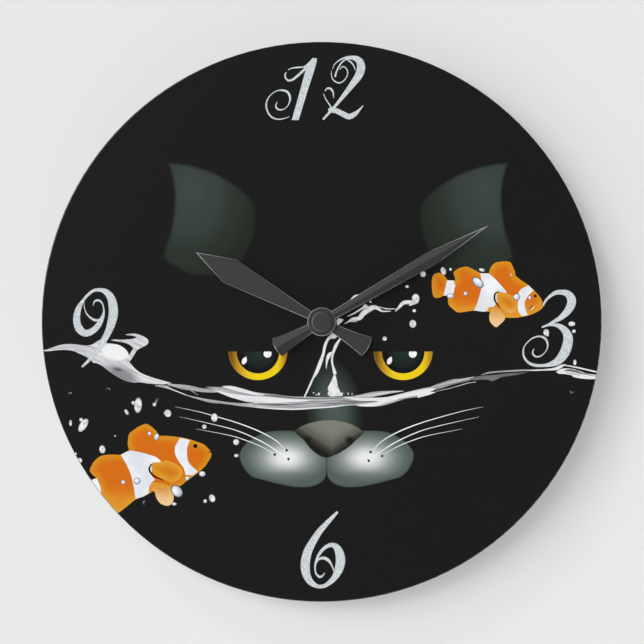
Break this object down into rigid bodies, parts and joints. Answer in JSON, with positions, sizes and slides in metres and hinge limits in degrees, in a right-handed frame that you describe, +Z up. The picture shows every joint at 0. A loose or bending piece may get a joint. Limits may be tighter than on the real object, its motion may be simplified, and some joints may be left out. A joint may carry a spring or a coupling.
{
  "type": "wall clock",
  "caption": "Round flat wall clock: printed acrylic disc with two dark hands, hung by a keyhole eye from a battery quartz movement behind it.",
  "frame": {"origin": "where the axis of the hands meets the wall: on the rear face of the movement's cover", "axes": "+Z up to 12 o'clock, +X to 3 o'clock as seen from the front, +Y back into the wall; the dial faces -Y"},
  "size_m": [0.273, 0.0304, 0.273],
  "materials": {
    "black_acrylic": "satin",
    "dial_print": "satin",
    "black_rubber": "matte",
    "brass": "polished",
    "dark_hands": "satin",
    "black_moulding": "matte",
    "plated_steel": "satin",
    "white_nylon": "matte",
    "natural_nylon": "matte",
    "magnet": "satin",
    "soft_iron": "satin",
    "copper_wire": "gloss",
    "circuit_board": "satin",
    "black_resin": "gloss",
    "battery_jacket": "gloss",
    "contact_metal": "polished"
  },
  "bodies": {
    "clock": {"acrylic_disc": "black_acrylic", "printed_face": "dial_print", "rubber_washer": "black_rubber", "brass_washer": "brass", "hex_nut": "brass", "dial_bushing": "brass", "movement_case": "black_moulding", "rear_cover": "black_moulding", "rear_plate": "natural_nylon", "middle_plate": "natural_nylon", "hanger_bracket": "plated_steel", "stator": "soft_iron", "coil_core": "soft_iron", "coil_bobbin": "natural_nylon", "coil_winding": "copper_wire", "motor_screws": "plated_steel", "circuit_board": "circuit_board", "quartz_crystal": "plated_steel", "chip_blob": "black_resin", "negative_contact": "contact_metal", "positive_contact": "contact_metal"},
    "minute_group": {"minute_pipe": "brass", "minute_hand": "dark_hands", "hand_cap": "dark_hands", "clutch_washer": "contact_metal"},
    "hour_group": {"hour_wheel": "white_nylon", "hour_hand": "dark_hands"},
    "motion_wheel": {"motion_wheel": "white_nylon"},
    "set_knob": {"set_knob": "black_moulding"},
    "seconds_wheel": {"seconds_wheel": "white_nylon"},
    "third_wheel": {"third_wheel": "white_nylon"},
    "fifth_wheel": {"fifth_wheel": "white_nylon"},
    "rotor": {"rotor_pinion": "white_nylon", "rotor_magnet": "magnet"},
    "centre_wheel": {"centre_wheel": "white_nylon"},
    "battery": {"aa_battery": "battery_jacket"}
  },
  "joints": [
    {"name": "minute_spin", "type": "hinge", "parent": "clock", "child": "minute_group", "pos_m": [0, -0.028, 0], "axis": [0, 1, 0], "continuous": true},
    {"name": "hour_spin", "type": "hinge", "parent": "clock", "child": "hour_group", "pos_m": [0, -0.0255, 0], "axis": [0, 1, 0], "continuous": true},
    {"name": "motion_spin", "type": "hinge", "parent": "clock", "child": "motion_wheel", "pos_m": [-0.01082, -0.0126, 0.0029], "axis": [0, 1, 0], "continuous": true},
    {"name": "knob_spin", "type": "hinge", "parent": "clock", "child": "set_knob", "pos_m": [-0.01999, -0.001, -0.00352], "axis": [0, 1, 0], "continuous": true},
    {"name": "seconds_spin", "type": "hinge", "parent": "clock", "child": "seconds_wheel", "pos_m": [0, -0.0073, 0], "axis": [0, 1, 0], "continuous": true},
    {"name": "third_spin", "type": "hinge", "parent": "clock", "child": "third_wheel", "pos_m": [0.01015, -0.0087, 0.00369], "axis": [0, 1, 0], "continuous": true},
    {"name": "fifth_spin", "type": "hinge", "parent": "clock", "child": "fifth_wheel", "pos_m": [-0.00909, -0.0052, 0.00525], "axis": [0, 1, 0], "continuous": true},
    {"name": "rotor_spin", "type": "hinge", "parent": "clock", "child": "rotor", "pos_m": [-0.012, -0.0075, 0.01565], "axis": [0, 1, 0], "continuous": true},
    {"name": "centre_spin", "type": "hinge", "parent": "clock", "child": "centre_wheel", "pos_m": [0, -0.0114, 0], "axis": [0, 1, 0], "continuous": true},
    {"name": "battery_slide", "type": "slide", "parent": "clock", "child": "battery", "axis": [0, 1, 0], "range_m": [0, 0.018]}
  ],
  "couplings": [
    {"joint": "hour_spin", "follows": "minute_spin", "ratio": 0.083333},
    {"joint": "motion_spin", "follows": "minute_spin", "ratio": -0.33333},
    {"joint": "knob_spin", "follows": "minute_spin", "ratio": 1},
    {"joint": "third_spin", "follows": "seconds_spin", "ratio": -0.13333},
    {"joint": "fifth_spin", "follows": "seconds_spin", "ratio": -6},
    {"joint": "rotor_spin", "follows": "seconds_spin", "ratio": 30},
    {"joint": "centre_spin", "follows": "seconds_spin", "ratio": 0.016667}
  ]
}
